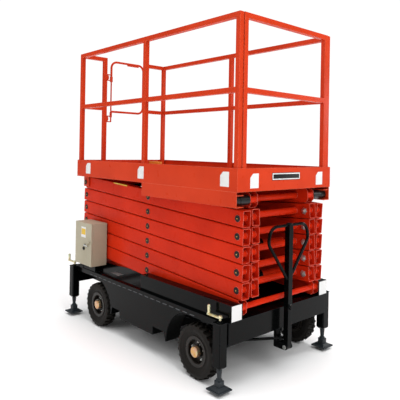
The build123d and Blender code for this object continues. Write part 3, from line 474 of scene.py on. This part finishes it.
lever = plate("cabinet_lever", (lever_x - lever_tail, lever_front, lever_z - lever_half),
              (lever_x + lever_reach, lever_back, lever_z + lever_half), 3.0)
dress(lever, bright_zinc, "cabinet_door")


# Scissor arms
# Rectangular steel tube with rounded edges, sprayed with deep red enamel.
# Their edges are painted pale, a painted highlight where light catches them.
stages = 6
red_enamel = sprayed_enamel("red_arm_enamel", "#d22d10", "#c4270d", "#f2a898", 0.3, edge_mm=3.0, gloss=0.06)
arm_nodes = [f"{kind}_arms_{stage}" for kind in ("inner", "outer") for stage in range(1, stages + 1)]
finish_nodes(red_enamel, *arm_nodes)


# Arm pins
# Each pin's head carries a blacked steel cap with a brass grease nipple; inside, a plated nut holds it.
def turned_steel(name, colour, roughness, metallic=1.0):
    """Steel with fine turning marks that break up its shine."""
    made, tree = new_material(name)
    place = add(tree, "TexCoord").outputs["Object"]
    marks = add(tree, "TexNoise", {"Vector": place, "Scale": per_metre(12.0), "Detail": 4.0})
    rough = add(tree, "MapRange", {
        "Value": marks.outputs["Fac"], "To Min": roughness * 0.8, "To Max": roughness * 1.3,
    })
    rounded = add(tree, "Bevel", {"Radius": 0.0012}, samples=4)
    shader = add(tree, "BsdfPrincipled", {
        "Base Color": linear(colour), "Metallic": metallic, "Roughness": rough.outputs["Result"],
        "Normal": rounded.outputs["Normal"],
    })
    add(tree, "OutputMaterial", {"Surface": shader.outputs["BSDF"]})
    return made


blacked_steel = turned_steel("blacked_steel", "#1b1a19", 0.4, 0.6)
brass = turned_steel("turned_brass", "#d8b36a", 0.3)
pitch = 0.132
half_span = 1.121
bottom_pin = 0.585
head_face = 0.497
bracket_head_face = 0.5135
nut_face = 0.3065
nut_turn = 0.3
disc = turned("disc", [
    (26.0, -1.0), (26.0, 1.4), (24.6, 2.6), (18.5, 2.8), (17.0, 1.5), (8.0, 1.5), (7.0, 2.6),
])
nipple = turned("nipple", [
    (4.6, 0.5), (4.6, 4.0), (3.0, 5.0), (2.4, 7.2), (3.3, 8.2), (3.2, 9.4), (1.6, 10.4),
], count=16)
hexagon = turned("hexagon", [
    (29.0, -6.2), (29.0, -0.6), (27.6, 0.4), (20.0, 0.5), (20.0, 8.6), (17.6, 10.4), (12.6, 10.5),
    (12.6, 13.0), (11.0, 14.5),
], count=6, smooth_degrees=20.0)
for stage in range(1, stages + 1):
    low = bottom_pin + pitch * (stage - 1)
    spots = [(0.0, low + pitch / 2), (-half_span, low + pitch)]
    if stage > 1:
        spots.append((half_span, low))
    heads, nuts = [], []
    for sign in (-1, 1):
        for x, z in spots:
            bracketed = stage == stages and x == -half_span
            face = bracket_head_face if bracketed else head_face
            heads.append(facing_out(x, face, z, sign))
            if not bracketed:
                nuts.append(Matrix.Translation((x, nut_face * sign, z))
                            @ Matrix.Rotation(sign * math.pi / 2, 4, "X") @ Matrix.Rotation(nut_turn, 4, "Z"))
    body = f"outer_{stage}"
    dress(set_out(disc, f"pin_caps_{stage}", heads), blacked_steel, body)
    dress(set_out(nipple, f"pin_nipples_{stage}", heads), brass, body)
    dress(set_out(hexagon, f"pin_nuts_{stage}", nuts), bright_zinc, body)
for pattern in (disc, nipple, hexagon):
    drop(pattern)


# Rollers and cylinder rods
# The rollers are blacked steel, the rods hard chromed and ground.
# A black sleeve covers each top roller's boss.
roller_enamel = turned_steel("blacked_roller_steel", "#191919", 0.35, 0.5)
finish_nodes(roller_enamel, "bottom_rollers", "top_rollers")
finish_nodes(turned_steel("hard_chrome", "#d5d6d8", 0.12), "lower_cylinder_rod", "upper_cylinder_rod")
top_pin = bottom_pin + stages * pitch
sleeve_y = 0.449
sleeve = turned("sleeve", [(30.0, -51.0), (37.0, -50.0), (37.0, 50.0), (30.0, 51.0)], count=40)
sleeve_places = [facing_out(half_span, sleeve_y, top_pin, sign) for sign in (-1, 1)]
dress(set_out(sleeve, "top_roller_sleeves", sleeve_places), roller_enamel, "inner_6")
drop(sleeve)


# Work platform, guardrail and gate
# Folded sheet and square tube, sprayed with orange-red enamel, brighter than the arms.
orange_enamel = sprayed_enamel("orange_rail_enamel", "#d03d1b", "#c53717", "#f29a7c", 0.32, gloss=0.1)
finish_nodes(
    orange_enamel, "platform_tray", "platform_channels", "platform_lugs", "guardrail_sides",
    "guardrail_front", "guardrail_rear", "gate",
)


# Gate loop
# One bent tube with all its corners rounded; its hinge side ends in a sleeve over a thinner rod.
# Short links carry the tube clear of the post; a stiffener lies under the top bar's free half.
def straight_tube(name, start, end, radius, count=20):
    """A round bar between two points."""
    start, end = Vector(start), Vector(end)
    turn = (end - start).to_track_quat("Z", "Y").to_euler()
    return begin(bpy.ops.mesh.primitive_cylinder_add, name, vertices=count, radius=radius,
                 depth=(end - start).length, location=(start + end) / 2, rotation=turn)


def quarter_bend(name, middle, bend, radius, across, up):
    """A quarter of a ring in the plane of X: it bulges to the side of the signs across and up."""
    made = begin(bpy.ops.mesh.primitive_torus_add, name, major_radius=bend, minor_radius=radius,
                 major_segments=48, minor_segments=20, rotation=(0.0, math.pi / 2, 0.0))
    bpy.ops.object.transform_apply(location=True, rotation=True, scale=True)
    bpy.ops.object.mode_set(mode="EDIT")
    for normal in ((0.0, across, 0.0), (0.0, 0.0, up)):
        bpy.ops.mesh.select_all(action="SELECT")
        bpy.ops.mesh.bisect(plane_co=(0.0, 0.0, 0.0), plane_no=normal, clear_inner=True, use_fill=True)
    bpy.ops.object.mode_set(mode="OBJECT")
    made.location = middle
    return made


gate_x, gate_tube, gate_bend = -1.164, 0.012, 0.07
hinge_y, tube_y, free_y = -0.239, -0.193, 0.239
gate_low, gate_high = 2.156, 2.716
sleeve_low, rod_low = 2.5, 2.04
rod_radius, sleeve_radius, collar_radius, stiffener_radius, link_radius = 0.008, 0.0165, 0.0135, 0.009, 0.006
sleeve_span, collar_span = (sleeve_low - 0.012, sleeve_low + 0.046), (rod_low + 0.052, rod_low + 0.11)
stiffener_start, stiffener_z = 0.02, gate_high - 0.017
pin_length, link_heights = 0.074, (0.006, 0.068)
left, right = tube_y + gate_bend, free_y - gate_bend
floor_z, ceiling = gate_low + gate_bend, gate_high - gate_bend
loop = [
    straight_tube("gate_loop", (gate_x, left, gate_high), (gate_x, right, gate_high), gate_tube),
    straight_tube("side", (gate_x, free_y, floor_z), (gate_x, free_y, ceiling), gate_tube),
    straight_tube("foot", (gate_x, tube_y, gate_low), (gate_x, right, gate_low), gate_tube),
    straight_tube("stiffener", (gate_x, stiffener_start, stiffener_z), (gate_x, right, stiffener_z),
                  stiffener_radius),
    quarter_bend("top_bend", (gate_x, left, ceiling), gate_bend, gate_tube, -1, 1),
    quarter_bend("free_bend", (gate_x, right, ceiling), gate_bend, gate_tube, 1, 1),
    quarter_bend("low_bend", (gate_x, right, floor_z), gate_bend, gate_tube, 1, -1),
]
for name, (low, high), radius in (
    ("hinge_side", (sleeve_low, ceiling), gate_tube), ("thin_rod", (rod_low, sleeve_low), rod_radius),
    ("sleeve", sleeve_span, sleeve_radius), ("collar", collar_span, collar_radius),
):
    loop.append(straight_tube(name, (gate_x, tube_y, low), (gate_x, tube_y, high), radius))
for low in (sleeve_low - 0.002, rod_low - 0.004):
    loop.append(straight_tube("pin", (gate_x, hinge_y, low), (gate_x, hinge_y, low + pin_length), rod_radius))
    for height in link_heights:
        start, end = (gate_x, hinge_y, low + height), (gate_x, tube_y, low + height)
        loop.append(straight_tube("link", start, end, link_radius))
gate_loop = settle(joined("gate_loop", loop), smooth_degrees=50.0)
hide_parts("gate")
dress(gate_loop, orange_enamel, "gate")


# Blank stickers and plates
# White vinyl with one cut corner on the tray, and a dark plate with a pale frame; all left blank.
sticker_thickness = 0.0006
sticker_low, sticker_high = 1.478, 1.588
sticker_half = 0.046
cut_back = 0.03
front_low, front_high = sticker_low - 0.01, sticker_high - 0.012
tray_side, tray_front = 0.577, 1.19
for index, x in enumerate((-0.955, -0.008, 1.06), start=1):
    slope = (Vector((x - sticker_half + cut_back, 0.0, sticker_high)), Vector((-1.0, 0.0, 1.0)))
    low = (x - sticker_half, -tray_side - sticker_thickness, sticker_low)
    high = (x + sticker_half, -tray_side + sticker_thickness, sticker_high)
    dress(plate(f"side_sticker_{index}", low, high, 0.2, slope), white_film, "platform")
for index, y in enumerate((-0.395, 0.416), start=1):
    slope = (Vector((0.0, y - sticker_half + cut_back, front_high)), Vector((0.0, -1.0, 1.0)))
    low = (tray_front - sticker_thickness, y - sticker_half, front_low)
    high = (tray_front + sticker_thickness, y + sticker_half, front_high)
    dress(plate(f"front_sticker_{index}", low, high, 0.2, slope), white_film, "platform")
plate_y, plate_z = (-0.195, 0.15), (1.52, 1.578)
plate_rims = (0.0, 0.004, 0.012)
plate_films = (black_plastic, white_film, black_plastic)
film_step = 0.0008
for index, (rim, film) in enumerate(zip(plate_rims, plate_films), start=1):
    low = (tray_front - film_step, plate_y[0] + rim, plate_z[0] + rim)
    high = (tray_front + film_step * index, plate_y[1] - rim, plate_z[1] - rim)
    dress(plate(f"name_plate_{index}", low, high, 0.3), film, "platform")


# Platform trim
# A black plate below the lugs' tie that stands in for shade under the tray (painted shade), a small amber box
# on the floor and a yellow strip on the top arm.
# Painted shade: a black plate where there is only shade under the tray.
dress(plate("tie_flange", (-1.081, -0.29, 1.31), (-1.075, 0.29, 1.348), 1.0),
      black_enamel, "platform")
amber_plastic = matt_plastic("amber_plastic", "#d98a2c", "#cf8126", 0.4)
floor_box = plate("floor_box", (-1.06, 0.27, 1.5635), (-0.886, 0.33, 1.6), 4.0)
dress(floor_box, amber_plastic, "platform")
strip_half = Vector((0.12, 0.0006, 0.006))
strip = plate("arm_strip", -strip_half, strip_half, 0.2)
arm_slope = Matrix.Rotation(math.atan2(pitch, 2 * half_span), 4, "Y")
dress(set_out(strip, "arm_top_strip", [Matrix.Translation((-0.47, -0.4932, 1.395)) @ arm_slope]),
      yellow_film, "outer_6")
drop(strip)


# Reflective end plates and the deck plate
# Pressed white reflectors on the front ends of the bottom channels, and a blank plate on the deck.
reflector_back, reflector_front = 1.165, 1.1672
reflector_inner, reflector_outer = 0.482, 0.586
reflector_low, reflector_high = 0.514, 0.627
for side, sign in sides.items():
    left, right = sorted((sign * reflector_inner, sign * reflector_outer))
    low, high = (reflector_back, left, reflector_low), (reflector_front, right, reflector_high)
    dress(plate(f"reflector_{side}", low, high, 0.5), white_film, "chassis")
deck_label = plate("deck_label", (-0.755, -0.415, 0.463), (-0.6, -0.35, 0.4652), 0.4)
dress(deck_label, white_film, "chassis")


# Drawbar fittings
# A turned end ring on top of the bar, a plated spring latch low on it, and sleeves on the tie rods.
tie_height, tie_sleeve_radius = 0.268, 0.011
tie_sleeve_start, tie_sleeve_end = 0.1, 0.9
for side, sign in sides.items():
    inner_end = Vector((1.159, 0.028 * sign, tie_height))
    outer_end = Vector((0.878, 0.488 * sign, tie_height))
    start, end = (inner_end.lerp(outer_end, part) for part in (tie_sleeve_start, tie_sleeve_end))
    sleeve = straight_tube(f"tie_sleeve_{side}", start, end, tie_sleeve_radius)
    dress(settle(sleeve, 2.0), black_enamel, f"tie_rod_{side}")
drawbar_x, drawbar_top, drawbar_pin_z = 1.209, 1.176, 0.212
ring_top = turned("drawbar_cap", [
    (21.0, -6.0), (24.0, -4.0), (24.0, 4.0), (21.0, 6.5), (13.0, 6.6), (12.0, 2.0),
], count=28)
dress(set_out(ring_top, "drawbar_end_cap", [Matrix.Translation((drawbar_x, 0.0, drawbar_top))]),
      black_enamel, "drawbar")
drop(ring_top)
latch = plate("drawbar_latch", (drawbar_x + 0.0225, -0.009, 0.512), (drawbar_x + 0.034, 0.009, 0.546), 3.0)
dress(latch, bright_zinc, "drawbar")
pin_end = turned("pin_end", [(14.0, 36.0), (16.0, 37.0), (16.0, 41.0), (14.0, 43.0), (6.0, 43.2)], count=20)
pin_places = [facing_out(drawbar_x, 0.0, drawbar_pin_z, sign) for sign in (-1, 1)]
dress(set_out(pin_end, "drawbar_pin_ends", pin_places), bright_zinc, "steering_swivel")
drop(pin_end)


# Deck tread
# The platform floor is chequer plate: raised lozenges, rolled in alternate directions.
tread_x, tread_y, tread_z = 1.13, 0.51, 1.563
lozenge_step, lozenge_narrowing, lozenge_degrees = 0.036, 0.32, 45.0
lozenge = turned("lozenge", [(11.5, -0.4), (11.0, 0.7), (8.5, 1.4)], count=8, smooth_degrees=60.0)
lozenge.data.transform(Matrix.Diagonal((1.0, lozenge_narrowing, 1.0, 1.0)))
columns = int(2 * tread_x / lozenge_step)
rows = int(2 * tread_y / lozenge_step)
spots = []
for column in range(columns):
    for row in range(rows):
        x = (column - (columns - 1) / 2) * lozenge_step
        y = (row - (rows - 1) / 2) * lozenge_step
        degrees = lozenge_degrees if (column + row) % 2 else -lozenge_degrees
        turn = Matrix.Rotation(math.radians(degrees), 4, "Z")
        spots.append(Matrix.Translation((x, y, tread_z)) @ turn)
dress(set_out(lozenge, "deck_lozenges", spots), orange_enamel, "platform")
drop(lozenge)


# Studio
# A plain pale floor runs to a pale surround. Two large soft lights, a small bright one and a wide one
# overhead light it. The sky is dim near the horizon and bright overhead, so tops shine and black
# paint stays black; the camera sees it as plain white.
floor_size, floor_white, sky_seen = 60.0, 0.97, 1.05
horizon_strength, zenith_strength = 0.1, 0.75
bpy.ops.object.select_all(action="DESELECT")
bpy.ops.mesh.primitive_plane_add(size=floor_size, location=(0.0, 0.0, 0.0))
floor = bpy.context.object
floor.name = "floor"
pale, tree = new_material("pale_floor")
shader = add(tree, "BsdfPrincipled", {"Base Color": (floor_white,) * 3 + (1.0,), "Roughness": 0.9})
add(tree, "OutputMaterial", {"Surface": shader.outputs["BSDF"]})
floor.data.materials.append(pale)

world = bpy.data.worlds.new("soft_sky")
bpy.context.scene.world = world
world.use_nodes = True
sky = world.node_tree
sky.nodes.clear()
direction = add(sky, "TexCoord").outputs["Generated"]
height = add(sky, "SeparateXYZ", {"Vector": direction}).outputs["Z"]
dome = add(sky, "MapRange", {"Value": height, "To Min": horizon_strength, "To Max": zenith_strength})
seen = add(sky, "LightPath").outputs["Is Camera Ray"]
strength = add(sky, "Mix", {0: seen, 2: dome.outputs["Result"], 3: sky_seen})
glow = add(sky, "Background", {"Color": (1.0, 1.0, 1.0, 1.0), "Strength": strength.outputs[0]})
add(sky, "OutputWorld", {"Surface": glow.outputs["Background"]})


def soft_light(name, place, aim, size, power):
    """A square soft box that points at a spot on the machine."""
    data = bpy.data.lights.new(name, "AREA")
    data.shape = "SQUARE"
    data.size = size
    data.energy = power
    made = bpy.data.objects.new(name, data)
    bpy.context.scene.collection.objects.link(made)
    made.location = place
    made.rotation_euler = (Vector(aim) - Vector(place)).to_track_quat("-Z", "Y").to_euler()


soft_light("key", (6.0, -1.0, 4.5), (0.0, 0.0, 1.2), 3.5, 160.0)
soft_light("fill", (-1.5, -6.5, 4.0), (0.0, 0.0, 1.0), 4.0, 95.0)
soft_light("strip", (2.5, 4.5, 2.5), (0.6, 0.0, 1.0), 0.6, 40.0)
overhead = bpy.data.lights.new("overhead", "SUN")
overhead.energy = 1.75
overhead.angle = math.radians(60.0)
bpy.context.scene.collection.objects.link(bpy.data.objects.new("overhead", overhead))
bpy.context.scene.view_settings.view_transform = "Standard"
